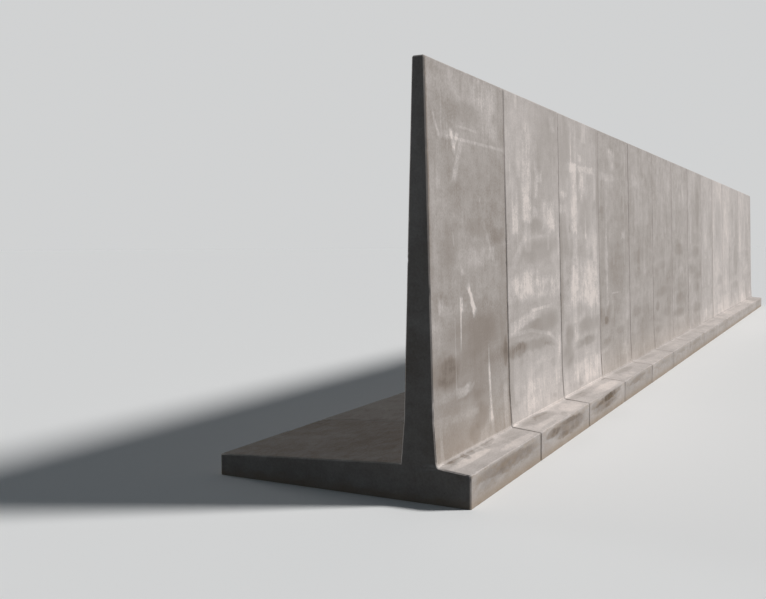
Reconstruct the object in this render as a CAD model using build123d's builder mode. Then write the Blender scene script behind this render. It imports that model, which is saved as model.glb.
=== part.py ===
# Precast concrete retaining wall: a straight row of inverted-T elements.
# Frame: X along the row, the toe and the exposed face towards -Y, the heel towards +Y, Z up.
# The origin is on the ground, at the centre of the row's footprint. All sizes in millimetres.

import os
from build123d import *

# Sizes of the row
element_count = 14
element_pitch = 2000
joint_gap = 10

# Sizes of the foot slab, across the row
base_width = 2750
toe_length = 330
toe_edge_height = 305
toe_root_height = 337
heel_root_height = 342
heel_edge_height = 217

# Sizes of the stem: it tapers upwards on both faces and flares out into the slab
wall_height = 4000
stem_top_thickness = 120
stem_foot_thickness = 300
front_batter_run = 87
haunch_top = 750
front_haunch_width = 30
back_haunch_width = 35

# Arrises that the mould leaves, and the rounded edge and root of the floated toe
arris = 12
toe_edge_radius = 18
toe_root_radius = 20

# Lifting pockets in the top edge: half-moon recesses of a disc's shape, filled with mortar
pocket_spacing = 1000
pocket_disc_radius = 100
pocket_width = 56
pocket_depth = 50
mortar_setback = 3

# Compressible strip between the end faces of neighbouring elements
seal_setback = 32

# Places across the row, worked out from the sizes
toe_edge_y = -base_width / 2
stem_root_front_y = toe_edge_y + toe_length
stem_foot_front_y = stem_root_front_y + front_haunch_width
stem_foot_back_y = stem_foot_front_y + stem_foot_thickness
stem_root_back_y = stem_foot_back_y + back_haunch_width
stem_top_front_y = stem_foot_front_y + front_batter_run
stem_top_back_y = stem_top_front_y + stem_top_thickness
stem_top_centre_y = (stem_top_front_y + stem_top_back_y) / 2
heel_edge_y = toe_edge_y + base_width

# Outline of the inverted T as Y and Z, from the toe's lower edge round by the heel and the stem
section_corners = [
    (toe_edge_y, 0),
    (heel_edge_y, 0),
    (heel_edge_y, heel_edge_height),
    (stem_root_back_y, heel_root_height),
    (stem_foot_back_y, haunch_top),
    (stem_top_back_y, wall_height),
    (stem_top_front_y, wall_height),
    (stem_foot_front_y, haunch_top),
    (stem_root_front_y, toe_root_height),
    (toe_edge_y, toe_edge_height),
]

element_length = element_pitch - joint_gap
row_length = element_count * element_pitch - joint_gap
pocket_disc_centre_z = wall_height - pocket_depth + pocket_disc_radius
mortar_top_z = wall_height - mortar_setback


def element_start(number):
    """X of the near end face of an element, counted from 1."""
    return -row_length / 2 + (number - 1) * element_pitch


def pocket_disc_centres(number):
    """Centres of an element's two pocket discs, as X and Z."""
    centre_x = element_start(number) + element_length / 2
    return [(centre_x + side * pocket_spacing / 2, pocket_disc_centre_z) for side in (-1, 1)]


def make_element(number):
    """One casting: slab and stem as one extruded section, with its arrises eased."""
    with BuildPart() as element:
        with BuildSketch(Plane.YZ.offset(element_start(number))):
            with BuildLine():
                Polyline(*section_corners, close=True)
            make_face()
        extrude(amount=element_length)

        # The float rounds the toe's upper edge and its root against the stem
        upper_edges = element.edges().filter_by(Axis.X).filter_by(lambda e: e.center().Z > 0)
        toe_edge, toe_root = upper_edges.sort_by(Axis.Y)[:2]
        fillet(toe_edge, radius=toe_edge_radius)
        fillet(toe_root, radius=toe_root_radius)

        # Every other arris above the ground is chamfered
        long_edges = element.edges().filter_by(Axis.X)
        top_edges = long_edges.group_by(Axis.Z)[-1]
        heel_edge = long_edges.filter_by(lambda e: e.center().Z > 0).sort_by(Axis.Y)[-1]
        end_faces = element.faces().filter_by(Axis.X)
        end_edges = end_faces.edges().filter_by(lambda e: e.center().Z > 0)
        chamfer(top_edges + end_edges + [heel_edge], length=arris)

        # Pockets for the lifting clutch
        with BuildSketch(Plane.XZ.offset(-stem_top_centre_y)):
            with Locations(*pocket_disc_centres(number)):
                Circle(pocket_disc_radius)
        extrude(amount=pocket_width / 2, both=True, mode=Mode.SUBTRACT)
    return element.part


def make_pocket_mortar(number):
    """Mortar in both pockets of an element, trowelled off just under the top edge."""
    with BuildPart() as mortar:
        with BuildSketch(Plane.XZ.offset(-stem_top_centre_y)):
            with Locations(*pocket_disc_centres(number)):
                Circle(pocket_disc_radius)
        extrude(amount=pocket_width / 2, both=True)
        split(bisect_by=Plane.XY.offset(mortar_top_z), keep=Keep.BOTTOM)
    return mortar.part


def make_joint_seal(number):
    """Strip in the joint after an element, set back from every face of the section."""
    with BuildPart() as seal:
        with BuildSketch(Plane.YZ.offset(element_start(number) + element_length)):
            with BuildLine():
                Polyline(*section_corners, close=True)
            make_face()
            offset(amount=-seal_setback, kind=Kind.INTERSECTION, mode=Mode.REPLACE)
        extrude(amount=joint_gap)
    return seal.part


def save(part, name):
    """Label a finished piece and write it under its own name."""
    part.label = name
    export_step(part, f"parts/{name}.step")


os.makedirs("parts", exist_ok=True)

for number in range(1, element_count + 1):
    save(make_element(number), f"wall_element_{number:02d}")
    save(make_pocket_mortar(number), f"pocket_mortar_{number:02d}")

for number in range(1, element_count):
    save(make_joint_seal(number), f"joint_seal_{number:02d}")
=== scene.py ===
"""Finish of a precast concrete retaining wall: castings, joint strips, pocket mortar and a studio."""

import math
import random
from collections import namedtuple

import bmesh
import bpy
from mathutils import Matrix, Vector


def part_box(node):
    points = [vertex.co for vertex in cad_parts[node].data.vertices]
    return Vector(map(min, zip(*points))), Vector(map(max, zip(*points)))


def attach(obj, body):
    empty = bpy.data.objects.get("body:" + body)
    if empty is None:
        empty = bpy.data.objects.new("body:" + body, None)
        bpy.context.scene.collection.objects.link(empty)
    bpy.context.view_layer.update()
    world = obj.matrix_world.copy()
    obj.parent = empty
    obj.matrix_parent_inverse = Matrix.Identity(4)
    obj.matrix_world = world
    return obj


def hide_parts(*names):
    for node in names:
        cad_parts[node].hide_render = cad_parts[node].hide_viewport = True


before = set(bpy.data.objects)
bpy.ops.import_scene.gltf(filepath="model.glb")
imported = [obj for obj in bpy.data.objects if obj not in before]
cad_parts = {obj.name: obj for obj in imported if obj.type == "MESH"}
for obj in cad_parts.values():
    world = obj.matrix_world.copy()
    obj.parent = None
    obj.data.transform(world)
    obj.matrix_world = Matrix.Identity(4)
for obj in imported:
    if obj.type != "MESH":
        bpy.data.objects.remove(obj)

bl_info = {
    "name": "Precast Retaining Wall Finish",
    "version": (1, 0, 0),
    "blender": (4, 5, 0),
    "location": "3D View > Sidebar > Retaining Wall",
    "description": "Finishes the castings of a precast retaining wall and sets a studio round it",
    "category": "Object",
}

# The castings and what lies between and in them, from the frame
CASTING_NODES = sorted(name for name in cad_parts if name.startswith("wall_element_"))
SEAL_NODES = sorted(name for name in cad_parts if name.startswith("joint_seal_"))
MORTAR_NODES = sorted(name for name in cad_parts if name.startswith("pocket_mortar_"))
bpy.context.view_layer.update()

FIRST_LOW, FIRST_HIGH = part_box(CASTING_NODES[0])
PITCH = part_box(CASTING_NODES[1])[0].x - FIRST_LOW.x
CASTING_LENGTH = FIRST_HIGH.x - FIRST_LOW.x
ROW_START = FIRST_LOW.x
TOE_EDGE_Y = FIRST_LOW.y
HEEL_EDGE_Y = FIRST_HIGH.y
WALL_TOP = FIRST_HIGH.z

# Sizes of the casting's section that the finish follows, in metres
TOE_LENGTH = 0.330
TOE_EDGE_HEIGHT = 0.305
FOOT_HEIGHT = 0.342
STEM_ROOT_BACK_Y = TOE_EDGE_Y + 0.695
TOE_ROOT_Y = TOE_EDGE_Y + TOE_LENGTH
HAUNCH_TOP = 0.750

# How the casting's mesh is merged and cut, in metres
MERGE_DISTANCE = 0.00002
EDGE_STRIP = 0.03
TOP_STRIP = 0.06
TOE_TOP_CUTS = (EDGE_STRIP, 0.075, 0.12, 0.17, 0.22, 0.27)
TOE_FRONT_CUT = 0.05
EDGE_CLEARANCE = 0.02
GROUND_CLEARANCE = 0.002
POCKET_MARGIN = 0.004

# Between these heights the stem's flare into the foot is smoothed, so many times
FLARE_LOW, FLARE_HIGH = FOOT_HEIGHT + 0.08, FOOT_HEIGHT + 0.80
FLARE_ROUNDS = 60

# What is flat, smooth and sharp on the casting, in degrees
FLAT_ANGLE = 0.4
SMOOTH_ANGLE = 28
ARRIS_ANGLE = 20

# Sizes of the clouds that dent it, in metres, and the levels of them that are chips
SWAY_SIZE = 0.8
RIPPLE_SIZE = 0.16
WANDER_SIZE = 0.45
CHIP_STOPS = ((0.66, 0.0), (0.84, 1.0))

# From casting to casting, the dents and the pattern move on by these
DENT_STEP = (3.7, 5.3, 2.9)
PATTERN_STEP = 5.17
SETTING_SEED = 90

ALONG, ACROSS, UP = Vector((1, 0, 0)), Vector((0, 1, 0)), Vector((0, 0, 1))


def from_screen(red, green, blue):
    """Linear colour of a colour given as it looks on a screen, from 0 to 255."""
    def straighten(level):
        share = level / 255
        return share / 12.92 if share <= 0.04045 else ((share + 0.055) / 1.055) ** 2.4
    return tuple(straighten(level) for level in (red, green, blue))


def length_setting(name, description, default, **limits):
    """A length that a user may change."""
    return bpy.props.FloatProperty(
        name=name, description=description, default=default, unit="LENGTH", **limits)


def colour_setting(name, description, default):
    """A colour that a user may change."""
    return bpy.props.FloatVectorProperty(
        name=name, description=description, default=default, subtype="COLOR")


class CastingSettings(bpy.types.PropertyGroup):
    """Sizes of what the mould and the handling leave on a casting."""

    long_cut: length_setting(
        "Cut along the row", "Spacing of the cuts across the length of a face", 0.1, min=0.02)
    fine_cut: length_setting(
        "Fine cut", "Spacing of the cuts on the toe and along the top edge", 0.028, min=0.01)
    upright_cut: length_setting("Upright cut", "Spacing of the cuts up the stem", 0.03, min=0.01)
    foot_cut: length_setting("Foot cut", "Spacing of the cuts across the heel", 0.07, min=0.02)
    sway_depth: length_setting("Mould sway", "How far the steel mould's faces bow in and out", 0.004)
    ripple_depth: length_setting(
        "Float ripples", "Depth of the ripples that the float leaves on the toe", 0.004)
    chip_depth: length_setting("Chip depth", "Deepest chip knocked out of an arris", 0.012)
    chip_size: length_setting("Chip size", "Length of a usual chip along its arris", 0.06)
    setting_error: length_setting("Setting error", "How far the castings' tops lean out of line", 0.004)


class ConcreteColours(bpy.types.PropertyGroup):
    """Colours of the concrete from its darkest damp to its palest laitance, and of the small parts."""

    damp: colour_setting("Damp", "Darkest damp concrete", from_screen(96, 84, 73))
    shade: colour_setting("Shade", "Dark brown-grey concrete", from_screen(138, 127, 118))
    body: colour_setting("Body", "Middle grey of the mould face", from_screen(166, 158, 152))
    pale: colour_setting("Pale", "Pale grey of dry concrete", from_screen(190, 182, 177))
    laitance: colour_setting(
        "Laitance", "Whitish cement skin in smears and marks", from_screen(220, 209, 202))
    earth: colour_setting("Earth", "Sandy earth that stains the foot", from_screen(150, 127, 99))
    mortar: colour_setting("Mortar", "Mortar in the lifting pockets", from_screen(158, 149, 138))
    foam: colour_setting("Joint foam", "Dark strip in the joints", from_screen(44, 42, 40))


class StudioSettings(bpy.types.PropertyGroup):
    """Light, floor and camera of the studio."""

    key_strength: bpy.props.FloatProperty(
        name="Key light", description="Strength of the soft light on the exposed face", default=3.56)
    fill_strength: bpy.props.FloatProperty(
        name="Fill light", description="Strength of the weak light on the back", default=1.8)
    sky_strength: bpy.props.FloatProperty(
        name="Sky light", description="Strength of the light from all round", default=0.09)
    floor_colour: colour_setting("Floor", "Colour of the studio floor", (0.84, 0.835, 0.825))
    floor_bounce: colour_setting(
        "Floor bounce", "Colour of the light that the floor throws back", (0.122, 0.130, 0.138))
    backdrop_colour: colour_setting(
        "Backdrop", "Colour behind the floor's far edge", (0.636, 0.643, 0.646))
    lens: bpy.props.FloatProperty(
        name="Lens", description="Focal length in millimetres on a 36 mm wide frame", default=42.03)


class Value:
    """The output of a shader node, which Python's operators join to further nodes."""

    def __init__(self, shades, socket):
        self.shades = shades
        self.socket = socket

    def joined(self, operation, other, swapped=False):
        first, second = (other, self) if swapped else (self, other)
        return self.shades.node("ShaderNodeMath", {"operation": operation}, {0: first, 1: second})

    def alone(self, operation):
        return self.shades.node("ShaderNodeMath", {"operation": operation}, {0: self})

    def beside(self, output):
        """Another output of the same node."""
        return Value(self.shades, self.socket.node.outputs[output])

    def __add__(self, other):
        return self.joined("ADD", other)

    def __radd__(self, other):
        return self.joined("ADD", other, swapped=True)

    def __sub__(self, other):
        return self.joined("SUBTRACT", other)

    def __rsub__(self, other):
        return self.joined("SUBTRACT", other, swapped=True)

    def __mul__(self, other):
        return self.joined("MULTIPLY", other)

    def __rmul__(self, other):
        return self.joined("MULTIPLY", other, swapped=True)

    def __abs__(self):
        return self.alone("ABSOLUTE")

    def swing(self, size):
        """A noise that runs from 0 to 1, turned about its middle and scaled."""
        return (self - 0.5) * size


class Shades:
    """The nodes of a material or of the sky."""

    def __init__(self, tree):
        self.tree = tree
        tree.nodes.clear()

    def node(self, kind, settings=None, sockets=None, output=0):
        """Add any node: its settings first, then the values or links of its sockets."""
        made = self.tree.nodes.new(kind)
        for key, setting in (settings or {}).items():
            if key == "stops":
                self.set_stops(made.color_ramp, setting)
            else:
                setattr(made, key, setting)
        for key, value in (sockets or {}).items():
            self.fill(made.inputs[key], value)
        return Value(self, made.outputs[output]) if made.outputs else None

    def fill(self, socket, value):
        """Link a socket, or set its value."""
        if isinstance(value, Value):
            self.tree.links.new(value.socket, socket)
        else:
            socket.default_value = value

    @staticmethod
    def set_stops(ramp, stops):
        while len(ramp.elements) < len(stops):
            ramp.elements.new(1.0)
        for element, (place, colour) in zip(ramp.elements, stops):
            element.position = place
            element.color = (*colour, 1.0)

    def ramp(self, value, *stops):
        return self.node("ShaderNodeValToRGB", {"stops": stops}, {0: value})

    def mix(self, first, second, share):
        """Blend two colours: the share of the second one runs from 0 to 1."""
        return self.node("ShaderNodeMix", {"data_type": "RGBA"}, {0: share, 6: first, 7: second}, output=2)

    def parts(self, vector):
        """The three numbers of a vector."""
        first = self.node("ShaderNodeSeparateXYZ", sockets={0: vector})
        return first, first.beside("Y"), first.beside("Z")

    def point(self, x, y, z=0.0):
        return self.node("ShaderNodeCombineXYZ", sockets={0: x, 1: y, 2: z})

    def noise(self, vector, scale, detail=2.0, roughness=0.5, distortion=0.0):
        sockets = {"Vector": vector, "Scale": scale, "Detail": detail,
                   "Roughness": roughness, "Distortion": distortion}
        return self.node("ShaderNodeTexNoise", sockets=sockets)

    def cells(self, vector, scale):
        sockets = {"Vector": vector, "Scale": scale}
        return self.node("ShaderNodeTexVoronoi", sockets=sockets, output="Distance")

    def rise(self, value, start, end):
        """Smooth step from 0 at start to 1 at end; it falls where end is the lower one."""
        settings = {"interpolation_type": "SMOOTHSTEP"}
        sockets = {"Value": value, "From Min": start, "From Max": end, "To Min": 0.0, "To Max": 1.0}
        if end < start:
            sockets |= {"From Min": end, "From Max": start, "To Min": 1.0, "To Max": 0.0}
        return self.node("ShaderNodeMapRange", settings, sockets)

    def within(self, value, start, end, soft):
        """1 between start and end, with edges as wide as soft."""
        return self.rise(value, start - soft, start + soft) * self.rise(value, end + soft, end - soft)

    def framed(self, place, centre, half_size, lean):
        """Place inside a leaning rectangle: both numbers run from -1 to 1 across it."""
        across, along = place[0] - centre[0], place[1] - centre[1]
        if lean:
            cosine, sine = math.cos(math.radians(lean)), math.sin(math.radians(lean))
            across, along = across * cosine + along * sine, along * cosine - across * sine
        return across * (1 / half_size[0]), along * (1 / half_size[1])

    def patch(self, place, centre, half_size, lean=0.0, soft=0.45):
        """A soft rectangle of 1: its middle, half sizes and lean in degrees."""
        across, along = self.framed(place, centre, half_size, lean)
        return self.rise(abs(across).joined("MAXIMUM", abs(along)), 1.0 + soft, 1.0 - soft)

    def lens(self, place, centre, half_size, lean=0.0, soft=0.5):
        """A soft oval of 1."""
        across, along = self.framed(place, centre, half_size, lean)
        return self.rise(across * across + along * along, 1.0 + soft, 1.0 - soft)

    def smear(self, place, middle, half_width, foot, top):
        """An upright smear of 1 that starts abruptly at its foot and fades towards its top."""
        centre = (middle, (foot + top) / 2)
        across, along = self.framed(place, centre, (half_width, (top - foot) / 2), 0.0)
        abrupt = 0.07 / (top - foot)
        sides = self.rise(abs(across), 1.35, 0.65)
        foot_line = self.rise(along, -1.0 - abrupt, -1.0 + abrupt)
        return sides * foot_line * self.rise(along, 1.5, -0.9)


class Finish(Shades):
    """A material on one shader."""

    def __init__(self, name):
        self.material = bpy.data.materials.new(name)
        self.material.use_nodes = True
        super().__init__(self.material.node_tree)
        self.shader = self.node("ShaderNodeBsdfPrincipled")
        self.node("ShaderNodeOutputMaterial", sockets={"Surface": self.shader})

    def give(self, **sockets):
        """Set or link the shader's own sockets, named with underscores for spaces."""
        for key, value in sockets.items():
            self.fill(self.shader.socket.node.inputs[key.replace("_", " ")], value)

    def place(self):
        """Object coordinates as a vector and as its three numbers."""
        vector = self.node("ShaderNodeTexCoord", output="Object")
        return vector, *self.parts(vector)

    def facing(self):
        """The three numbers of the surface's normal."""
        return self.parts(self.node("ShaderNodeNewGeometry", output="Normal"))

    def bump(self, height, distance):
        return self.node("ShaderNodeBump", sockets={"Height": height, "Distance": distance, "Strength": 1.0})


# What shows on a casting. "pale" is how pale its face is, "bands" how strong its pour bands are,
# "runs" its laitance runs, "splash" its scoured foot, "toe" how much paler its toe is than its face,
# and "root" how much paler the stem's root is. "joints" holds how much dirt and painted shade darken
# its near and far edges, and how strongly its arrises get wear with painted light and shade. The rest
# are lists of marks on its face and on its toe's front and top.
Look = namedtuple("Look", "pale bands runs splash toe root joints smears patches front top")

# Places of marks are in metres along the casting from its near end. On the face a smear is (middle,
# half width, foot, top, paler) with heights above the ground, and a patch is (middle, height, half
# length, half height, paler), followed by its lean in degrees if it leans. The marks on the toe's
# front are given as patches are, and on its top with the distance out from the stem for the height.
# "paler" is how much paler the mark is than its surroundings, or darker where it is below zero.
MIDDLE_TOE_TOP = [(0.9, 0.09, 0.5, 0.06, -0.08, 3)]
FAR_TOE_TOP = [(0.9, 0.09, 0.5, 0.06, -0.06, 3)]
FAR_TOE_FRONT = [(0.9, 0.235, 0.5, 0.04, -0.1)]
FAR_TOE_FRONT_BEYOND = [(1.0, 0.235, 0.5, 0.04, -0.1)]

# From the near end of the row
CASTING_LOOKS = [
    Look(0.49, 0.35, 0.15, 0.3, 0.29, 0.2, (0.25, 0.9, 0.2), smears=[
        (0.615, 0.03, 3.2, 3.38, 0.22), (0.46, 0.012, 3.2, 3.56, 0.16), (0.23, 0.04, 2.85, 3.32, 0.1),
        (0.33, 0.015, 3.3, 3.85, 0.1),
    ], patches=[
        (1.2, 3.335, 0.72, 0.015, 0.17), (0.45, 3.345, 0.24, 0.034, 0.08),
        # (0.0, 3.2) is painted shade down the upper part of the near arris
        (0.96, 3.453, 0.22, 0.012, 0.16, -1), (1.2, 3.4, 0.018, 0.05, 0.1), (0.0, 3.2, 0.035, 0.9, -0.32),
        (0.005, 0.62, 0.016, 0.3, 0.24), (0.9, 3.84, 0.9, 0.14, 0.13), (0.95, 3.55, 0.85, 0.16, 0.05),
        (1.5, 3.72, 0.25, 0.25, 0.09), (0.92, 3.61, 0.46, 0.09, -0.1), (1.55, 3.45, 0.22, 0.06, 0.07),
        (0.585, 3.31, 0.028, 0.11, 0.3, 25), (0.65, 3.3, 0.024, 0.09, 0.24, -32),
        (0.62, 3.37, 0.1, 0.03, 0.16, -6), (0.69, 3.13, 0.045, 0.21, 0.19, -28),
        (0.63, 2.99, 0.045, 0.05, 0.16), (0.205, 3.43, 0.018, 0.125, 0.22, 34),
        (1.21, 2.79, 0.05, 0.035, 0.2, -20), (0.2, 2.55, 0.16, 0.5, 0.05),
        (1.45, 2.37, 0.03, 0.22, 0.12, 35), (1.53, 2.24, 0.09, 0.05, 0.13), (0.62, 2.58, 0.26, 0.05, 0.06),
        (1.1, 2.2, 0.52, 0.09, 0.12, 1), (0.42, 2.32, 0.22, 0.24, -0.11),
        (0.55, 2.38, 0.014, 0.06, 0.14, 12), (0.76, 2.07, 0.04, 0.03, 0.2),
        (0.965, 1.795, 0.037, 0.145, 0.58, 31), (1.0, 1.73, 0.035, 0.06, 0.25, 25),
        (0.71, 1.76, 0.04, 0.06, 0.42), (0.685, 1.55, 0.014, 0.19, 0.4, -3), (0.54, 1.28, 0.008, 0.36, 0.16),
        (0.22, 1.76, 0.06, 0.06, 0.2), (0.55, 1.72, 0.28, 0.035, 0.08), (0.13, 1.52, 0.12, 0.1, 0.08),
        (1.0, 1.1, 1.0, 0.55, -0.05), (1.02, 1.44, 0.72, 0.2, -0.12), (0.28, 1.17, 0.3, 0.15, -0.21),
        (1.9, 1.18, 0.06, 0.15, -0.22), (0.36, 1.21, 0.17, 0.08, -0.1), (0.28, 1.03, 0.24, 0.1, -0.09),
        (0.95, 1.05, 0.6, 0.22, -0.11), (0.55, 0.7, 0.45, 0.05, 0.04), (0.72, 0.925, 0.15, 0.04, 0.26, 4),
        (0.3, 0.92, 0.16, 0.035, 0.05), (0.95, 0.95, 0.05, 0.02, 0.12, 30), (0.75, 0.81, 0.65, 0.09, -0.1),
        (1.405, 1.05, 0.016, 0.2, 0.3, 3), (1.42, 0.78, 0.03, 0.28, 0.4, 4), (1.4, 0.6, 0.055, 0.085, 0.26),
        (1.12, 0.85, 0.2, 0.25, -0.03), (1.14, 0.62, 0.18, 0.12, -0.18), (0.95, 0.47, 0.14, 0.1, -0.14),
        (0.5, 0.5, 0.6, 0.14, -0.1), (0.14, 0.48, 0.035, 0.13, 0.14), (1.86, 0.58, 0.06, 0.22, 0.18),
        (1.02, 0.68, 0.06, 0.03, 0.14), (1.75, 2.42, 0.2, 0.08, -0.12), (1.15, 2.5, 0.32, 0.09, -0.1),
        (1.85, 1.6, 0.1, 0.6, -0.08),
    ], front=[
        (0.95, 0.215, 0.8, 0.075, -0.24, -1), (1.1, 0.225, 0.5, 0.045, -0.1, 1),
        (0.55, 0.15, 0.35, 0.05, -0.1, 2),
    ], top=[
        (0.1, 0.06, 0.14, 0.09, -0.1), (0.32, 0.026, 0.16, 0.03, -0.2),
        (0.24, 0.055, 0.06, 0.042, -0.14, -50), (0.54, 0.05, 0.085, 0.046, -0.28, -48),
        (0.71, 0.034, 0.11, 0.04, -0.22, -25), (0.9, 0.045, 0.085, 0.038, -0.1, -40),
        (1.03, 0.065, 0.1, 0.046, -0.14, -45), (1.23, 0.032, 0.16, 0.036, -0.2, -8),
        (0.76, 0.018, 0.62, 0.022, -0.2), (1.3, 0.145, 0.42, 0.04, -0.1, 6),
        (0.52, 0.125, 0.48, 0.052, 0.23), (1.45, 0.265, 0.45, 0.055, 0.14), (0.75, 0.285, 0.5, 0.03, -0.05),
    ]),
    Look(0.655, 0.45, 0.4, 0.8, 0.2, 0.2, (0.8, 0.9, 0.35), smears=[
        (0.29, 0.1, 2.44, 3.05, 0.18), (0.7, 0.155, 2.58, 4.1, 0.22), (1.06, 0.055, 2.88, 3.6, 0.18),
        (0.16, 0.03, 3.0, 3.4, 0.12),
    ], patches=[
        (0.7, 2.76, 0.15, 0.15, 0.13), (1.19, 3.12, 0.1, 0.07, 0.18), (1.0, 2.7, 0.09, 0.06, 0.13),
        (1.52, 2.69, 0.24, 0.16, 0.22), (1.65, 2.55, 0.12, 0.08, 0.12, 10), (1.73, 3.82, 0.1, 0.09, 0.12),
        (1.02, 1.81, 0.92, 0.115, 0.16), (0.71, 1.91, 0.17, 0.12, 0.15), (0.28, 1.86, 0.13, 0.11, 0.11),
        (1.06, 1.94, 0.06, 0.09, 0.15), (0.56, 1.455, 0.46, 0.06, 0.25, 8),
        (1.2, 1.565, 0.32, 0.018, 0.17, 1), (1.28, 1.38, 0.66, 0.12, -0.18, 3),
        (0.26, 1.145, 0.33, 0.085, -0.26, 2), (0.3, 1.17, 0.16, 0.04, -0.1, 6),
        (0.98, 1.15, 0.55, 0.065, -0.2, -1), (1.5, 1.1, 0.22, 0.03, -0.11, -8),
        (0.45, 1.33, 0.36, 0.022, 0.1), (1.15, 1.275, 0.4, 0.022, 0.11, -8),
        (1.62, 1.17, 0.2, 0.022, 0.11, -20), (1.2, 2.26, 0.68, 0.12, -0.12, 5),
        (1.12, 2.55, 0.34, 0.09, -0.11), (0.45, 2.28, 0.32, 0.06, 0.1, 38), (1.1, 2.42, 0.25, 0.02, 0.08, 3),
        (0.75, 0.55, 0.28, 0.18, 0.12), (1.2, 0.75, 0.6, 0.25, 0.05), (1.88, 1.05, 0.05, 0.12, 0.12),
        (1.62, 0.86, 0.12, 0.06, -0.11), (1.6, 0.44, 0.09, 0.03, -0.13), (1.5, 3.5, 0.45, 0.5, -0.08),
        (0.08, 1.0, 0.1, 0.5, -0.07),
    ], front=[
        (0.45, 0.215, 0.28, 0.055, -0.26, 2), (1.05, 0.2, 0.64, 0.105, -0.31, -2),
        (1.3, 0.25, 0.48, 0.035, -0.12, -2), (1.05, 0.125, 0.35, 0.035, -0.1),
    ], top=[
        (0.62, 0.085, 0.5, 0.1, -0.24, 2), (0.85, 0.045, 0.24, 0.04, -0.14, 3),
        (0.56, 0.075, 0.09, 0.02, -0.1, -30), (0.45, 0.28, 0.28, 0.025, -0.12),
        (1.12, 0.26, 0.14, 0.04, -0.14, -20), (1.6, 0.19, 0.32, 0.11, 0.1),
        (1.15, 0.24, 0.2, 0.05, -0.07, 20), (0.25, 0.24, 0.2, 0.06, 0.06),
    ]),
    Look(0.65, 0.4, 0.4, 0.75, 0.12, 0.2, (0.7, 0.4, 0.35), smears=[
        (0.69, 0.15, 2.48, 3.8, 0.24), (0.56, 0.03, 3.3, 3.9, 0.22), (0.7, 0.15, 1.7, 2.4, 0.2),
        (1.26, 0.035, 2.42, 2.8, 0.28),
    ], patches=[
        (0.24, 3.6, 0.25, 0.4, -0.13), (1.12, 3.36, 0.68, 0.045, 0.16, 1), (0.62, 3.33, 0.13, 0.05, 0.09),
        (1.0, 3.5, 0.08, 0.06, 0.12), (1.12, 3.18, 0.16, 0.13, 0.2, -8), (1.05, 2.98, 0.05, 0.045, 0.12),
        (1.25, 2.72, 0.3, 0.22, -0.12), (0.2, 2.97, 0.15, 0.035, 0.13, 3), (0.15, 2.79, 0.13, 0.045, 0.14),
        (0.15, 2.4, 0.18, 0.3, -0.11), (1.1, 1.75, 0.82, 0.3, 0.15), (1.52, 1.78, 0.34, 0.26, 0.15),
        (1.4, 1.55, 0.22, 0.07, 0.17, -32), (0.58, 1.68, 0.14, 0.13, 0.12), (0.06, 1.9, 0.06, 0.8, -0.12),
        (0.9, 1.46, 0.3, 0.08, -0.1), (0.7, 1.13, 0.14, 0.15, 0.15), (0.37, 1.13, 0.19, 0.13, -0.19),
        (0.3, 0.88, 0.26, 0.16, -0.07), (1.35, 1.19, 0.6, 0.1, -0.14), (0.84, 0.955, 0.18, 0.06, -0.18),
        (1.33, 0.97, 0.34, 0.065, -0.24), (0.8, 0.6, 0.28, 0.11, 0.15), (1.5, 0.58, 0.42, 0.15, 0.18),
        (1.35, 0.82, 0.2, 0.04, 0.1), (0.85, 0.42, 0.12, 0.03, -0.14), (0.25, 0.85, 0.26, 0.16, -0.14),
        (0.45, 2.52, 0.04, 0.06, -0.14), (1.92, 2.9, 0.05, 1.2, -0.11), (1.55, 2.3, 0.3, 0.12, 0.07),
    ], front=[
        (0.9, 0.185, 0.64, 0.085, -0.27, 2), (1.25, 0.25, 0.6, 0.048, -0.3, 3),
        (0.4, 0.225, 0.28, 0.05, -0.2), (1.15, 0.13, 0.42, 0.035, -0.14, 1),
    ], top=[
        (0.35, 0.09, 0.32, 0.06, -0.14, 3), (0.7, 0.06, 0.35, 0.03, -0.08), (1.3, 0.215, 0.62, 0.09, 0.17),
        (1.88, 0.03, 0.12, 0.018, -0.25, -6),
    ]),
    Look(0.52, 0.35, 0.3, 0.6, 0.26, 0.1, (0.2, 0.1, 0.5),
        smears=[(0.45, 0.06, 1.34, 3.6, 0.18), (1.75, 0.05, 3.45, 3.95, 0.13), (0.47, 0.03, 1.4, 2.4, 0.1)],
        patches=[
        (0.78, 3.75, 0.09, 0.04, 0.22), (0.85, 3.6, 0.16, 0.13, 0.12), (0.6, 3.34, 0.6, 0.06, 0.09, 1),
        (0.15, 2.83, 0.15, 0.06, -0.11), (0.38, 1.165, 0.11, 0.065, -0.26), (0.18, 1.21, 0.16, 0.05, -0.08),
        (0.42, 0.84, 0.22, 0.06, -0.15), (1.0, 1.555, 0.22, 0.012, 0.18), (1.55, 2.46, 0.12, 0.05, 0.12),
        (0.2, 0.72, 0.2, 0.03, 0.1), (1.1, 2.05, 0.55, 0.45, -0.08), (1.3, 0.95, 0.3, 0.06, -0.1),
        (1.6, 0.62, 0.28, 0.1, 0.1), (0.15, 1.25, 0.15, 0.12, -0.08), (0.1, 0.55, 0.09, 0.16, 0.1),
        (1.0, 3.6, 0.95, 0.45, 0.05),
    ], front=[(0.85, 0.225, 0.55, 0.05, -0.2, 2)],
        top=[(1.0, 0.08, 0.5, 0.06, -0.14, 3), (0.6, 0.23, 0.4, 0.07, 0.1)]),
    Look(0.53, 0.3, 0.25, 0.3, 0.24, 0.0, (0.0, 0.5, 0.4), smears=[(0.55, 0.1, 2.5, 3.3, 0.08)], patches=[
        (1.3, 0.95, 0.65, 0.4, -0.08), (0.8, 2.1, 0.65, 0.12, -0.08, 2), (0.5, 3.4, 0.3, 0.1, 0.08),
        (1.93, 1.15, 0.025, 0.35, -0.12), (0.45, 1.15, 0.28, 0.1, -0.1), (1.0, 3.6, 0.95, 0.45, 0.06),
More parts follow.
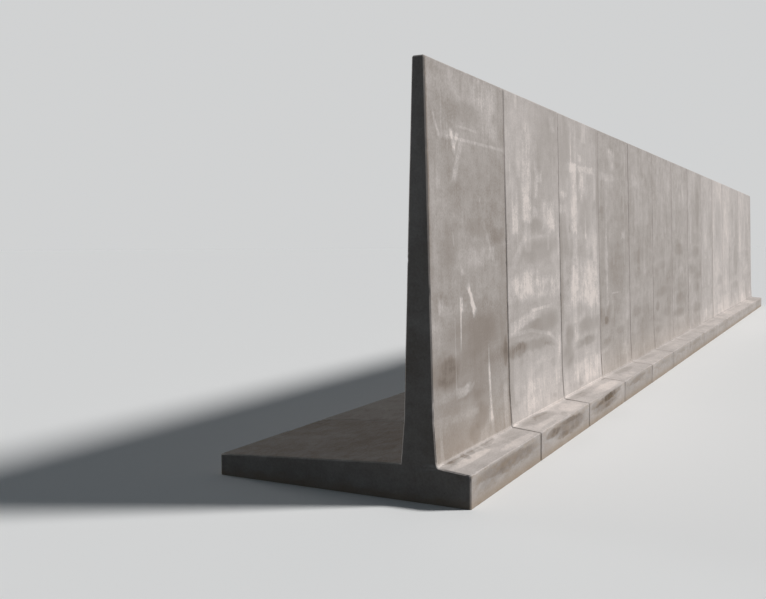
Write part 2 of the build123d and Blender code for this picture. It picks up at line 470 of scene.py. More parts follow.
    ], front=[(0.9, 0.235, 0.6, 0.045, -0.11, 1)], top=MIDDLE_TOE_TOP),
    Look(0.56, 0.3, 0.25, 0.3, 0.24, 0.0, (0.4, 0.1, 0.5), smears=[(0.95, 0.12, 2.4, 3.6, 0.07)], patches=[
        (0.4, 1.12, 0.18, 0.085, -0.17), (1.0, 1.25, 0.9, 0.9, -0.06), (0.9, 1.9, 0.38, 0.08, -0.09, 2),
        (0.5, 0.68, 0.34, 0.07, -0.09), (0.9, 1.38, 0.6, 0.09, -0.08, 1),
        (1.35, 0.95, 0.45, 0.09, -0.07, -1), (1.0, 3.6, 0.95, 0.5, 0.07),
    ], front=[(1.0, 0.235, 0.55, 0.045, -0.12, -1)], top=[(0.8, 0.09, 0.5, 0.06, -0.08, 3)]),
    Look(0.56, 0.3, 0.2, 0.3, 0.24, 0.0, (0.0, 0.0, 0.6), smears=[(0.3, 0.1, 2.6, 3.5, 0.07)], patches=[
        (0.85, 2.18, 0.55, 0.12, -0.13), (0.7, 2.33, 0.45, 0.07, -0.06, 1), (1.05, 2.36, 0.22, 0.04, 0.09),
        (1.0, 1.14, 0.6, 0.15, -0.12, 1), (1.05, 1.17, 0.3, 0.08, -0.05), (0.9, 1.38, 0.6, 0.08, -0.07),
        (0.8, 0.84, 0.7, 0.09, -0.13, -1), (0.75, 0.55, 0.6, 0.08, -0.07), (0.08, 1.3, 0.06, 0.4, 0.1),
        (1.0, 1.7, 0.5, 0.1, 0.07), (1.0, 3.6, 0.95, 0.5, 0.07),
    ], front=[(0.8, 0.235, 0.5, 0.045, -0.1, 1)], top=MIDDLE_TOE_TOP),
    Look(0.6, 0.3, 0.2, 0.3, 0.22, 0.0, (0.0, 0.1, 0.6), smears=[(0.35, 0.14, 2.3, 3.8, 0.07)], patches=[
        (1.42, 3.2, 0.3, 0.45, -0.15), (1.05, 2.1, 0.55, 0.14, -0.15, 2), (0.6, 1.72, 0.6, 0.11, -0.11),
        (1.3, 1.55, 0.6, 0.1, -0.08, 1), (1.1, 1.28, 0.5, 0.12, -0.11), (1.2, 0.8, 0.7, 0.11, -0.13, -1),
        (1.58, 1.8, 0.36, 1.4, -0.07), (1.25, 2.42, 0.65, 0.12, -0.07), (0.15, 1.45, 0.12, 0.1, 0.09),
        (0.6, 3.6, 0.6, 0.5, 0.06),
    ], front=[(1.1, 0.23, 0.45, 0.045, -0.1)], top=MIDDLE_TOE_TOP),
    Look(0.68, 0.2, 0.2, 0.4, 0.14, -0.06, (0.1, 0.1, 0.55), smears=[(0.7, 0.2, 1.9, 3.6, 0.07)], patches=[
        (1.72, 2.8, 0.26, 0.5, -0.07), (0.6, 0.55, 0.25, 0.1, 0.15), (1.6, 0.6, 0.28, 0.1, 0.09),
        (0.4, 1.2, 0.4, 0.02, -0.07), (1.8, 2.25, 0.2, 0.08, -0.07),
    ], front=FAR_TOE_FRONT, top=FAR_TOE_TOP),
    Look(0.8, 0.2, 0.2, 0.4, 0.06, -0.06, (0.1, 0.1, 0.55), smears=[(0.3, 0.16, 2.5, 4.0, 0.05)], patches=[
        (1.2, 2.85, 0.55, 0.7, -0.12), (1.4, 3.05, 0.25, 0.35, -0.06), (1.35, 1.28, 0.55, 0.14, -0.14),
        (1.6, 0.9, 0.4, 0.1, -0.08), (1.2, 0.55, 0.5, 0.07, 0.1),
    ], front=FAR_TOE_FRONT_BEYOND, top=FAR_TOE_TOP),
    Look(0.8, 0.2, 0.2, 0.3, 0.06, -0.06, (0.0, 0.0, 0.55), smears=[(0.6, 0.2, 3.1, 4.1, 0.06)], patches=[
        (1.66, 2.0, 0.2, 1.3, -0.1), (1.78, 2.12, 0.18, 0.1, -0.08), (1.78, 1.82, 0.18, 0.1, -0.08),
        (0.7, 0.95, 0.7, 0.15, -0.05),
    ], front=FAR_TOE_FRONT, top=FAR_TOE_TOP),
    Look(0.7, 0.25, 0.2, 0.3, 0.12, -0.06, (0.0, 0.2, 0.55), smears=[(0.3, 0.2, 1.5, 3.0, 0.05)], patches=[
        (1.25, 1.75, 0.55, 0.42, -0.19), (1.35, 2.95, 0.34, 0.6, -0.08), (1.0, 1.0, 0.8, 0.11, -0.1),
        (0.9, 1.35, 0.75, 0.08, -0.07), (1.9, 0.65, 0.1, 0.3, -0.1), (1.1, 0.68, 0.35, 0.03, 0.07),
    ], front=FAR_TOE_FRONT_BEYOND, top=FAR_TOE_TOP),
    Look(0.765, 0.2, 0.2, 0.3, 0.06, -0.06, (0.1, 0.1, 0.55), smears=[(0.4, 0.2, 1.8, 3.8, 0.07)], patches=[
        (1.4, 2.7, 0.35, 0.55, -0.09), (1.55, 1.95, 0.55, 0.12, -0.08), (1.5, 1.15, 0.5, 0.1, -0.07),
        (0.9, 0.55, 0.16, 0.06, 0.14), (1.5, 0.75, 0.5, 0.09, -0.06),
    ], front=FAR_TOE_FRONT, top=FAR_TOE_TOP),
    Look(0.68, 0.2, 0.2, 0.4, 0.1, -0.06, (0.1, 0.2, 0.55), smears=[(0.8, 0.3, 3.0, 4.0, 0.09)], patches=[
        (0.4, 1.95, 0.55, 0.1, -0.08), (0.7, 1.4, 0.5, 0.2, 0.06), (1.0, 1.2, 0.9, 0.07, -0.07),
        (0.35, 0.62, 0.45, 0.1, -0.07), (1.3, 0.55, 0.3, 0.05, 0.1),
    ], front=FAR_TOE_FRONT_BEYOND, top=FAR_TOE_TOP),
]


# Scales of the concrete's noises, from the widest
CLOUD_SCALE = 1.1
BRUSH_SCALE = 2.4
SWIRL_SCALE = 3.2
RUN_SCALE = 3.8
MOTTLE_SCALE = 5.0
DRIFT_SCALE = 5.0
FRAY_SCALE = 7.0
HOLE_SCALE = 24.0
GRAIN_SCALE = 48.0
SPECKLE_SCALE = 190.0

# How far each layer takes the tone, which runs from damp at 0 to laitance at 1
CLOUD_TONE = 0.42
MOTTLE_TONE = 0.34
GRAIN_TONE = 0.42
SPECKLE_TONE = 0.16
BRUSH_TONE = 0.18
SWIRL_TONE = 0.14
HOLE_SHADE_TONE = 0.26
PALE_BAND_TONE = 0.16
DARK_BAND_TONE = 0.18
RUN_TONE = 0.30

# Heights in metres from which a layer fades in downwards, and at which it is full
BAND_FADE = (3.2, 1.6)
DIRT_AND_SHADE_FADE = (4.0, 1.6)
SCOUR_FADE = (1.0, 0.45)
SPLASH_FADE = (0.95, 0.36)
EARTH_FADE = (0.125, 0.005)

# Other measures of the layers, in metres
DIRT_AND_SHADE_REACH = (0.055, 0.005)
FINEST_SMEAR = 0.02
FINEST_PATCH = 0.035
BUMP_DEPTH = 0.0016


def stain_marks(finish, look, crisp, frayed):
    """The sum of the smears and patches on a casting's face."""
    marks = 0.0
    for middle, half_width, foot, top, paler in look.smears:
        place = crisp if half_width < FINEST_SMEAR else frayed
        marks = finish.smear(place, middle, half_width, foot, top) * paler + marks
    for middle, height, half_length, half_height, paler, *lean in look.patches:
        centre, half_size = (middle, height), (half_length, half_height)
        if paler < 0:
            shape = finish.lens(frayed, centre, half_size, *lean, soft=0.85)
        else:
            place = crisp if min(half_size) < FINEST_PATCH else frayed
            shape = finish.patch(place, centre, half_size, *lean)
        marks = shape * paler + marks
    return marks


def toe_marks(finish, marks, place):
    """The sum of the oval marks on one side of the toe."""
    total = 0.0
    for middle, across, half_length, half_width, paler, *lean in marks:
        total = finish.lens(place, (middle, across), (half_length, half_width), *lean) * paler + total
    return total


def concrete(name, look, start_x, seed, colours):
    """Steel-moulded concrete: clouds, pour bands, laitance, marks, pores and a floated and stained foot,
    with painted shade at its joints, air holes and heel top, and painted light and shade on its arrises.
    """
    finish = Finish(name)
    vector, x, y, z = finish.place()
    facing_x, facing_y, facing_z = finish.facing()
    along = x - start_x

    upright = finish.rise(facing_z, 0.6, 0.3)
    lying = 1 - upright
    front = finish.rise(facing_y, -0.5, -0.8)
    low_foot = finish.rise(z, FOOT_HEIGHT + 0.04, FOOT_HEIGHT - 0.01)
    stem = 1 - low_foot
    toe_side = finish.rise(y, TOE_ROOT_Y + 0.02, TOE_ROOT_Y - 0.02)

    clouds = finish.noise(finish.point(along + seed, y, z * 0.9), CLOUD_SCALE, detail=3.0)
    mottle_place = finish.point(along + seed * 3, y, z * 1.3)
    mottle = finish.noise(mottle_place, MOTTLE_SCALE, detail=4.0, roughness=0.62)
    grain = finish.noise(vector, GRAIN_SCALE, detail=4.0, roughness=0.68)
    speckle = finish.noise(vector, SPECKLE_SCALE, detail=2.0)
    fray = finish.noise(finish.point(along + seed, y, z * 1.4), FRAY_SCALE, detail=4.0, roughness=0.6)

    # Pour bands lie level and wave a little where the concrete flowed, mostly low on the stem
    level = z + clouds.swing(0.30) - along * 0.04
    band_place = finish.point(along * 0.35 + seed, y * 0.3, level * 1.9)
    bands = finish.noise(band_place, 1.7, detail=2.5, roughness=0.55)
    band_light, band_dark = finish.rise(bands, 0.52, 0.68), finish.rise(bands, 0.46, 0.32)
    band_tone = band_light * PALE_BAND_TONE - band_dark * DARK_BAND_TONE
    banded = band_tone * (finish.rise(z, *BAND_FADE) * 0.75 + 0.25) * look.bands

    # Laitance runs hang above each pour line, brightest at their foot
    lift = (z + clouds.swing(0.45)) * 1.2 + seed
    lift_number, lift_share = lift.alone("FLOOR"), lift.alone("FRACT")
    run_place = finish.point(along + lift_number * 3.7 + fray.swing(0.05), lift_number * 5.1, y)
    columns = finish.noise(run_place, RUN_SCALE, detail=1.5)
    run_tail = finish.rise(lift_share, 0.0, 0.05) * finish.rise(lift_share, 1.0, 0.05)
    runs = finish.rise(columns, 0.55, 0.64) * run_tail * (RUN_TONE * look.runs)

    # Marks that stand out, with edges that the mottling frays and faint streaks up the mould face
    brushed_place = finish.point(along * 8.0 + seed + fray.swing(0.7), y, z * 1.1)
    brushed = finish.noise(brushed_place, BRUSH_SCALE, detail=4.0, roughness=0.62)
    crisp = along + fray.swing(0.016), z + fray.swing(0.012)
    frayed = along + fray.swing(0.07), z + fray.swing(0.11) + clouds.swing(0.03)
    breakup = finish.rise(grain * 0.5 + mottle * 0.6 + brushed * 0.5, 0.62, 0.98) * 0.8 + 0.5
    marks = stain_marks(finish, look, crisp, frayed) * breakup

    # The foot of the stem is scoured paler by splashes, and along the joints dirt and painted shade darken
    # the edges, most on their arrises
    splash = finish.rise(z + mottle.swing(0.5), *SCOUR_FADE) * (brushed.swing(0.22) + 0.09) * look.splash
    near_share, far_share, arris_light_and_wear_share = look.joints
    edge_fray = mottle.swing(0.06) + fray.swing(0.03)
    near_dirt_and_shade = finish.rise(along + edge_fray, *DIRT_AND_SHADE_REACH) * near_share
    far_dirt_and_shade = finish.rise(CASTING_LENGTH - along + edge_fray, *DIRT_AND_SHADE_REACH) * far_share
    joint_dirt_and_shade = (near_dirt_and_shade + far_dirt_and_shade) * (finish.rise(z, *DIRT_AND_SHADE_FADE) * 0.85 + 0.15)
    arris = finish.within(abs(facing_x), 0.45, 0.90, 0.08)
    before_stem = finish.rise(y, TOE_ROOT_Y + 0.10, TOE_ROOT_Y + 0.05)
    lip = finish.within(z, FOOT_HEIGHT - 0.006, FOOT_HEIGHT + 0.020, 0.004) * before_stem * look.root

    rear = finish.rise(y, STEM_ROOT_BACK_Y - 0.12, STEM_ROOT_BACK_Y - 0.02)
    pale = look.pale + rear * (0.75 * (0.55 - look.pale))
    pale = pale + clouds.swing(CLOUD_TONE) + mottle.swing(MOTTLE_TONE)
    pale = pale + grain.swing(GRAIN_TONE) + speckle.swing(SPECKLE_TONE)
    pale = pale + (brushed - 0.5) * stem * upright * BRUSH_TONE
    pale = pale + (banded + runs) * upright * stem
    pale = pale + (marks + splash) * front * stem + lip
    # Arrises facing the near end, which the key light barely reaches, are painted paler: painted light
    # besides their wear. Those facing the far end, which it lights, are painted a little darker: painted
    # shade.
    arris_wear_and_painted_light = arris * (0.42 - facing_x * 0.82) * arris_light_and_wear_share
    pale = pale + arris_wear_and_painted_light - joint_dirt_and_shade * (0.20 + arris * 0.45) * (upright + toe_side * lying)

    # The floated toe: swirls, and darker and paler marks on its top
    toe_top = toe_side * low_foot * lying
    swirl_place = finish.point(along * 1.3 + seed, y * 4, z)
    swirls = finish.noise(swirl_place, SWIRL_SCALE, detail=3.0, distortion=1.0)
    top_place = along + swirls.swing(0.12), TOE_ROOT_Y - y + mottle.swing(0.03) + fray.swing(0.02)
    toe_tone = look.toe - 0.05 + swirls.swing(SWIRL_TONE) + toe_marks(finish, look.top, top_place)
    pale = pale + toe_top * toe_tone
    # The heel's top gets swirls and is painted darker, a painted shade for the stem's shadow on it
    heel_top = finish.rise(y, STEM_ROOT_BACK_Y - 0.01, STEM_ROOT_BACK_Y + 0.02) * lying * low_foot
    pale = pale + heel_top * (swirls.swing(0.30) - 0.20)

    # Its front stays damp under the rim, and earth stains it at the ground
    toe_front = toe_side * low_foot * front
    drift_place = finish.point(along * 0.8 + seed, z * 3.2, y)
    drift = finish.noise(drift_place, DRIFT_SCALE, detail=5.0, roughness=0.65)
    front_place = along + clouds.swing(0.5) + drift.swing(0.20), z + drift.swing(0.12)
    under_rim = finish.rise(z + fray.swing(0.02), TOE_EDGE_HEIGHT - 0.010, TOE_EDGE_HEIGHT - 0.030)
    front_breakup = finish.rise(mottle + grain * 0.4, 0.55, 0.85) * 0.6 + 0.6
    front_tone = toe_marks(finish, look.front, front_place) * under_rim * front_breakup
    pale = pale + toe_front * (front_tone + (0.60 - look.pale) * 0.7)
    earthy = finish.rise(z + drift.swing(0.20), *EARTH_FADE) * upright * 0.48
    earthy = earthy + finish.rise(drift, 0.40, 0.70) * toe_front * 0.30
    if look.pale < 0.6:
        splashed = finish.rise(z + drift.swing(0.30), *SPLASH_FADE) * front * stem
        earthy = earthy + splashed * (0.65 - look.pale)

    # Air holes from the mould face, bumped in and painted darker: painted shade in the holes
    hole_areas = finish.rise(finish.noise(vector, 6.0), 0.50, 0.62)
    hole = finish.rise(finish.cells(vector, HOLE_SCALE), 0.10, 0.06) * hole_areas * upright
    pale = pale - hole * HOLE_SHADE_TONE

    colour = finish.ramp(pale, (0.0, colours.damp), (0.25, colours.shade), (0.5, colours.body),
                         (0.75, colours.pale), (1.0, colours.laitance))
    height = grain * 0.5 + speckle * 0.25 - hole * 2.2 + swirls * lying * 3.0 + mottle * 0.8
    finish.give(
        Base_Color=finish.mix(colour, (*colours.earth, 1.0), earthy),
        Roughness=0.97 - 0.13 * pale,
        Specular_IOR_Level=0.3,
        Normal=finish.bump(height, BUMP_DEPTH),
    )
    return finish.material


def mortar_finish(colours):
    """Trowelled mortar, sandier and a little darker than the casting."""
    finish = Finish("pocket_mortar")
    vector, x, y, z = finish.place()
    sand = finish.noise(vector, 160.0, detail=3.0, roughness=0.7)
    smears = finish.noise(finish.point(x * 0.4, y, z), 34.0, detail=2.0)
    tone = finish.rise(sand * 0.5 + smears * 0.5, 0.30, 0.70)
    dark = tuple(channel * 0.62 for channel in colours.mortar)
    light = tuple(min(1.0, channel * 1.3) for channel in colours.mortar)
    finish.give(Base_Color=finish.ramp(tone, (0.0, dark), (1.0, light)), Roughness=0.95,
                Specular_IOR_Level=0.25, Normal=finish.bump(sand * 0.6 + smears, 0.002))
    return finish.material


def foam_finish(colours):
    """Dusty closed-cell joint strip."""
    finish = Finish("joint_foam")
    vector, x, y, z = finish.place()
    pores = finish.cells(vector, 320.0)
    dust = finish.rise(finish.noise(finish.point(x, y, z * 0.3), 9.0, detail=3.0), 0.48, 0.75)
    clean = tuple(colours.foam)
    dusty = tuple(channel * 3.2 + 0.02 for channel in colours.foam)
    finish.give(Base_Color=finish.ramp(dust, (0.0, clean), (1.0, dusty)), Roughness=0.93,
                Specular_IOR_Level=0.2, Normal=finish.bump(pores, 0.001))
    return finish.material


def give_material(thing, material):
    """Make a material the only one of an object."""
    thing.data.materials.clear()
    thing.data.materials.append(material)


def only(thing):
    """Select one object alone and make it active."""
    bpy.ops.object.select_all(action="DESELECT")
    thing.select_set(True)
    bpy.context.view_layer.objects.active = thing


def select_faces(thing, test):
    """In edit mode, select just the faces whose middle and normal pass the test."""
    bpy.ops.mesh.select_all(action="DESELECT")
    shell = bmesh.from_edit_mesh(thing.data)
    for face in shell.faces:
        if test(face.calc_center_median(), face.normal):
            face.select_set(True)
    bmesh.update_edit_mesh(thing.data)


def cut(place, axis):
    """Cut the selected faces square to an axis, at a place along it."""
    bpy.ops.mesh.bisect(plane_co=axis * place, plane_no=axis, use_fill=False)


def cut_some(thing, test, places, axis):
    """Cut the faces that pass the test at each of the places."""
    for place in places:
        select_faces(thing, test)
        cut(place, axis)


def cut_all(places, axis):
    """Cut every face at each of the places."""
    for place in places:
        bpy.ops.mesh.select_all(action="SELECT")
        cut(place, axis)


def steps(start, end, spacing):
    """Places between start and end, evenly spaced at about the spacing."""
    count = max(1, round((end - start) / spacing))
    return [start + (end - start) * index / count for index in range(1, count)]


def on_fine_strip(centre, normal):
    """Faces of the toe's upper side and edge, and of the stem's top edge."""
    toe = centre.y < TOE_ROOT_Y + EDGE_STRIP and EDGE_CLEARANCE < centre.z < FOOT_HEIGHT + EDGE_STRIP
    top = centre.z > WALL_TOP - TOP_STRIP
    return (toe or top) and abs(normal.x) < 0.5


def on_plain_part(centre, normal):
    """All other faces."""
    return not on_fine_strip(centre, normal)


def casting_template(settings):
    """The first casting's mesh, merged and cut into small faces that dents and chips can shape."""
    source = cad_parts[CASTING_NODES[0]]
    template = bpy.data.objects.new("casting_template", source.data.copy())
    bpy.context.scene.collection.objects.link(template)
    only(template)
    bpy.ops.object.mode_set(mode="EDIT")
    bpy.ops.mesh.select_mode(type="FACE")
    bpy.ops.mesh.select_all(action="SELECT")
    bpy.ops.mesh.remove_doubles(threshold=MERGE_DISTANCE)
    bpy.ops.mesh.dissolve_limited(angle_limit=math.radians(FLAT_ANGLE))

    # The top strip needs its level cuts first, so that the fine cuts stop at them
    insets = (EDGE_STRIP, TOP_STRIP)
    cut_all([WALL_TOP - inset for inset in insets], UP)
    cut_some(template, on_fine_strip, steps(FIRST_LOW.x, FIRST_HIGH.x, settings.fine_cut), ALONG)
    lengths = [FIRST_LOW.x + inset for inset in insets]
    lengths += [FIRST_HIGH.x - inset for inset in reversed(insets)]
    lengths += steps(FIRST_LOW.x, FIRST_HIGH.x, settings.long_cut)
    cut_some(template, on_plain_part, lengths, ALONG)
    heights = steps(FOOT_HEIGHT + EDGE_CLEARANCE, HAUNCH_TOP, settings.upright_cut)
    heights += steps(HAUNCH_TOP, WALL_TOP - TOP_STRIP, settings.upright_cut)
    heights += steps(0.0, TOE_EDGE_HEIGHT - EDGE_CLEARANCE, TOE_FRONT_CUT)
    cut_all(heights, UP)
    widths = [TOE_EDGE_Y + inset for inset in TOE_TOP_CUTS]
    widths += steps(STEM_ROOT_BACK_Y, HEEL_EDGE_Y - EDGE_STRIP, settings.foot_cut)
    cut_all(widths, ACROSS)
    ease_creases(template)
    bpy.ops.object.mode_set(mode="OBJECT")
    mark_groups(template)
    return template


def ease_creases(thing):
    """Blend the stem's faces into the foot's flare, so that no line shows where their slope changes."""
    bpy.ops.mesh.select_mode(type="VERT")
    bpy.ops.mesh.select_all(action="DESELECT")
    shell = bmesh.from_edit_mesh(thing.data)
    for vertex in shell.verts:
        on_face = all(abs(face.normal.y) > 0.98 for face in vertex.link_faces)
        if on_face and FLARE_LOW < vertex.co.z < FLARE_HIGH:
            vertex.select_set(True)
    shell.select_flush_mode()
    bmesh.update_edit_mesh(thing.data)
    bpy.ops.mesh.vertices_smooth(factor=0.5, repeat=FLARE_ROUNDS, xaxis=False, yaxis=True, zaxis=False)


def mark_groups(thing):
    """Vertex groups for the dents: the skin above the ground, the floated toe, and the arrises."""
    shell = bmesh.new()
    shell.from_mesh(thing.data)
    skin, floated, arrises = [], [], []
    for vertex in shell.verts:
        place = vertex.co
        if place.z < GROUND_CLEARANCE:
            continue
        skin.append(vertex.index)
        if place.y < TOE_ROOT_Y - EDGE_CLEARANCE and place.z > TOE_EDGE_HEIGHT - EDGE_STRIP:
            floated.append(vertex.index)
        sharp = [edge for edge in vertex.link_edges if len(edge.link_faces) == 2
                 and edge.is_convex and edge.calc_face_angle() > math.radians(ARRIS_ANGLE)]
        in_pocket = place.z > WALL_TOP - TOP_STRIP and abs(vertex.normal.z) < 0.99 and is_pocket(place)
        if sharp and not in_pocket:
            arrises.append(vertex.index)
    shell.free()
    for name, members in (("skin", skin), ("floated", floated), ("arrises", arrises)):
        thing.vertex_groups.new(name=name).add(members, 1.0, "REPLACE")


def is_pocket(place):
    """True inside the band that the lifting pockets take up."""
    low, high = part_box(MORTAR_NODES[0])
    return low.y - POCKET_MARGIN < place.y < high.y + POCKET_MARGIN


def cloud_texture(name, size, depth=2, stops=None):
    """A cloudy texture for dents; stops squeeze it into separate chips."""
    texture = bpy.data.textures.new(name, "CLOUDS")
    texture.noise_scale = size
    texture.noise_depth = depth
    if stops:
        texture.use_color_ramp = True
        for element, (place, level) in zip(texture.color_ramp.elements, stops):
            element.position = place
            element.color = (level, level, level, 1.0)
    return texture


def dent(thing, texture, depth, middle, group):
    """Push a group of vertices in or out along their normals, and keep the result."""
    modifier = thing.modifiers.new(texture.name, "DISPLACE")
    modifier.texture = texture
    modifier.texture_coords = "GLOBAL"
    modifier.strength = depth
    modifier.mid_level = middle
    modifier.vertex_group = group
    bpy.ops.object.modifier_apply(modifier=modifier.name)


def setting_of(index, settings):
    """Where a casting stands in the row, with its top a little out of line."""
    draw = random.Random(SETTING_SEED + index)
    lean = Matrix.Identity(4)
    lean[1][2] = draw.uniform(-1, 1) * settings.setting_error / WALL_TOP
    return Matrix.Translation((index * PITCH, draw.uniform(-0.5, 0.5) * settings.setting_error, 0)) @ lean


class RETAININGWALL_OT_castings(bpy.types.Operator):
    """Dress every wall element: bowed mould faces, a floated toe, chipped arrises and its concrete"""

    bl_idname = "retaining_wall.castings"
    bl_label = "Dress Castings"

    def execute(self, context):
        settings = context.scene.wall_casting
        colours = context.scene.wall_colours
        template = casting_template(settings)
        sway = cloud_texture("mould_sway", SWAY_SIZE)
        ripples = cloud_texture("float_ripples", RIPPLE_SIZE)
        wander = cloud_texture("toe_wander", WANDER_SIZE)
        chips = cloud_texture("arris_chips", settings.chip_size, 3, CHIP_STOPS)
        for index, node in enumerate(CASTING_NODES):
            casting = template.copy()
            casting.data = template.data.copy()
            casting.name = node.replace("wall_element", "casting")
            context.scene.collection.objects.link(casting)
            only(casting)

            # Each casting meets the textures at another place, so that no two dent alike
            casting.location = [index * step for step in DENT_STEP]
            context.view_layer.update()
            dent(casting, sway, settings.sway_depth, 0.5, "skin")
            dent(casting, ripples, settings.ripple_depth, 0.5, "floated")
            dent(casting, wander, settings.ripple_depth, 0.5, "floated")
            dent(casting, chips, -settings.chip_depth, 0.0, "arrises")
            casting.location = (0, 0, 0)
            casting.data.transform(setting_of(index, settings))
            casting.vertex_groups.clear()
            bpy.ops.object.shade_smooth_by_angle(angle=math.radians(SMOOTH_ANGLE))

            look = CASTING_LOOKS[index % len(CASTING_LOOKS)]
            start_x = ROW_START + index * PITCH
            seed = PATTERN_STEP * (index + 1)
            give_material(casting, concrete(f"concrete_{index + 1:02d}", look, start_x, seed, colours))
            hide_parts(node)
            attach(casting, "root")
        bpy.data.objects.remove(template)
        return {"FINISHED"}


class RETAININGWALL_OT_joint_strips(bpy.types.Operator):
    """Give the strips in the joints their dusty foam"""

    bl_idname = "retaining_wall.joint_strips"
    bl_label = "Finish Joint Strips"

    def execute(self, context):
        foam = foam_finish(context.scene.wall_colours)
        for node in SEAL_NODES:
            give_material(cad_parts[node], foam)
        return {"FINISHED"}


class RETAININGWALL_OT_pocket_mortar(bpy.types.Operator):
    """Give the filled lifting pockets their sandy mortar"""

    bl_idname = "retaining_wall.pocket_mortar"
    bl_label = "Finish Pocket Mortar"

    def execute(self, context):
        mortar = mortar_finish(context.scene.wall_colours)
        for node in MORTAR_NODES:
            give_material(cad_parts[node], mortar)
        return {"FINISHED"}


def sun(name, towards, width, strength):
    """A soft distant light that shines along a direction."""
    lamp = bpy.data.lights.new(name, "SUN")
    lamp.energy = strength
    lamp.angle = math.radians(width)
    thing = bpy.data.objects.new(name, lamp)
    thing.rotation_euler = Vector(towards).to_track_quat("-Z", "Y").to_euler()
    bpy.context.scene.collection.objects.link(thing)


# The camera stands this far before the near end, out from the toe's edge and above the ground,
# and is turned from the row's direction, tipped down and rolled by these angles in degrees.
CAMERA_BEFORE_END = 7.2062
CAMERA_OUT_FROM_TOE = 2.9270
CAMERA_HEIGHT = 2.3420
CAMERA_TURN = 27.732
CAMERA_TIP = 3.552
CAMERA_ROLL = -0.349

# Its frame is this wide in millimetres, and it sees this far in metres
FRAME_WIDTH = 36.0
VIEW_DEPTH = 500.0

# The lights' directions, the widths in degrees of what they come from, and the light from all round
KEY_DIRECTION, KEY_WIDTH = (-0.42, 0.70, -0.58), 10
FILL_DIRECTION, FILL_WIDTH = (-0.15, -0.98, -0.03), 24
SKY_COLOUR = (0.72, 0.87, 1.0, 1.0)
FLOOR_SIZE = 900
FLOOR_DROP = 0.002


def set_camera(studio):
    """Camera at the photo's place and angle."""
    turn, tip, roll = (math.radians(angle) for angle in (CAMERA_TURN, CAMERA_TIP, CAMERA_ROLL))
    ahead = Vector((math.cos(turn) * math.cos(tip), math.sin(turn) * math.cos(tip), -math.sin(tip)))
    right = Vector((math.sin(turn), -math.cos(turn), 0.0))
    up = right.cross(ahead)
    rolled_right = right * math.cos(roll) + up * math.sin(roll)
    rolled_up = up * math.cos(roll) - right * math.sin(roll)
    camera = bpy.data.objects.new("camera", bpy.data.cameras.new("camera"))
    camera.data.sensor_width = FRAME_WIDTH
    camera.data.lens = studio.lens
    camera.data.clip_end = VIEW_DEPTH
    turned = Matrix((rolled_right, rolled_up, -ahead)).transposed()
    camera.matrix_world = turned.to_4x4()
    camera.location = (ROW_START - CAMERA_BEFORE_END, TOE_EDGE_Y - CAMERA_OUT_FROM_TOE, CAMERA_HEIGHT)
    bpy.context.scene.collection.objects.link(camera)
    bpy.context.scene.camera = camera


def set_floor(studio):
    """A wide pale floor that keeps the wall's shadow; the light that it throws back is weaker."""
    bpy.ops.object.select_all(action="DESELECT")
    bpy.ops.mesh.primitive_plane_add(size=FLOOR_SIZE, location=(0, 0, -FLOOR_DROP))
    floor = bpy.context.active_object
    floor.name = "studio_floor"
    finish = Finish("studio_floor")
    bounce, seen = (*studio.floor_bounce, 1.0), (*studio.floor_colour, 1.0)
    colour = finish.mix(bounce, seen, seen_directly(finish))
    finish.give(Base_Color=colour, Roughness=1.0, Specular_IOR_Level=0.0)
    give_material(floor, finish.material)


def seen_directly(shades):
    """1 for what the camera sees itself, or in a reflection, or through something."""
    path = shades.node("ShaderNodeLightPath", output="Is Camera Ray")
    mirrored = path.beside("Is Glossy Ray").joined("MAXIMUM", path.beside("Is Transmission Ray"))
    return path.joined("MAXIMUM", mirrored)


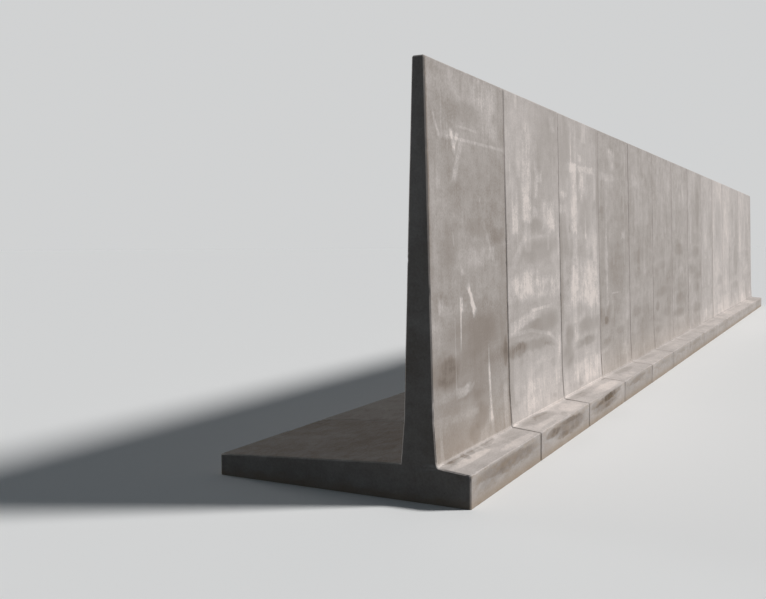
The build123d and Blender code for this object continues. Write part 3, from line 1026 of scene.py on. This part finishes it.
def set_sky(studio):
    """Even light from all round, and a pale backdrop for the camera and for reflections."""
    world = bpy.data.worlds.new("studio_sky")
    bpy.context.scene.world = world
    world.use_nodes = True
    sky = Shades(world.node_tree)
    lit = {"Color": SKY_COLOUR, "Strength": studio.sky_strength}
    shown = {"Color": (*studio.backdrop_colour, 1.0), "Strength": 1.0}
    light, backdrop = (sky.node("ShaderNodeBackground", sockets=sockets) for sockets in (lit, shown))
    mixed = sky.node("ShaderNodeMixShader", sockets={0: seen_directly(sky), 1: light, 2: backdrop})
    sky.node("ShaderNodeOutputWorld", sockets={"Surface": mixed})


class RETAININGWALL_OT_studio(bpy.types.Operator):
    """Set the camera, the soft lights, the pale floor and the backdrop"""

    bl_idname = "retaining_wall.studio"
    bl_label = "Set Studio"

    def execute(self, context):
        studio = context.scene.wall_studio
        context.scene.view_settings.view_transform = "Standard"
        set_camera(studio)
        set_floor(studio)
        set_sky(studio)
        sun("key_light", KEY_DIRECTION, KEY_WIDTH, studio.key_strength)
        sun("fill_light", FILL_DIRECTION, FILL_WIDTH, studio.fill_strength)
        return {"FINISHED"}


class RETAININGWALL_PT_finish(bpy.types.Panel):
    """Lists the steps of the finish and their settings"""

    bl_label = "Retaining Wall"
    bl_idname = "RETAININGWALL_PT_finish"
    bl_space_type = "VIEW_3D"
    bl_region_type = "UI"
    bl_category = "Retaining Wall"

    def draw(self, context):
        for operator in OPERATORS:
            self.layout.operator(operator.bl_idname)
        for group in (context.scene.wall_casting, context.scene.wall_colours, context.scene.wall_studio):
            box = self.layout.box()
            for name in group.__annotations__:
                box.prop(group, name)


OPERATORS = (
    RETAININGWALL_OT_studio,
    RETAININGWALL_OT_castings,
    RETAININGWALL_OT_joint_strips,
    RETAININGWALL_OT_pocket_mortar,
)
CLASSES = (CastingSettings, ConcreteColours, StudioSettings, *OPERATORS, RETAININGWALL_PT_finish)


def register():
    for cls in CLASSES:
        bpy.utils.register_class(cls)
    bpy.types.Scene.wall_casting = bpy.props.PointerProperty(type=CastingSettings)
    bpy.types.Scene.wall_colours = bpy.props.PointerProperty(type=ConcreteColours)
    bpy.types.Scene.wall_studio = bpy.props.PointerProperty(type=StudioSettings)


def unregister():
    del bpy.types.Scene.wall_studio
    del bpy.types.Scene.wall_colours
    del bpy.types.Scene.wall_casting
    for cls in reversed(CLASSES):
        bpy.utils.unregister_class(cls)


def main():
    register()
    bpy.ops.retaining_wall.studio()
    bpy.ops.retaining_wall.castings()
    bpy.ops.retaining_wall.joint_strips()
    bpy.ops.retaining_wall.pocket_mortar()


if __name__ == "__main__":
    main()
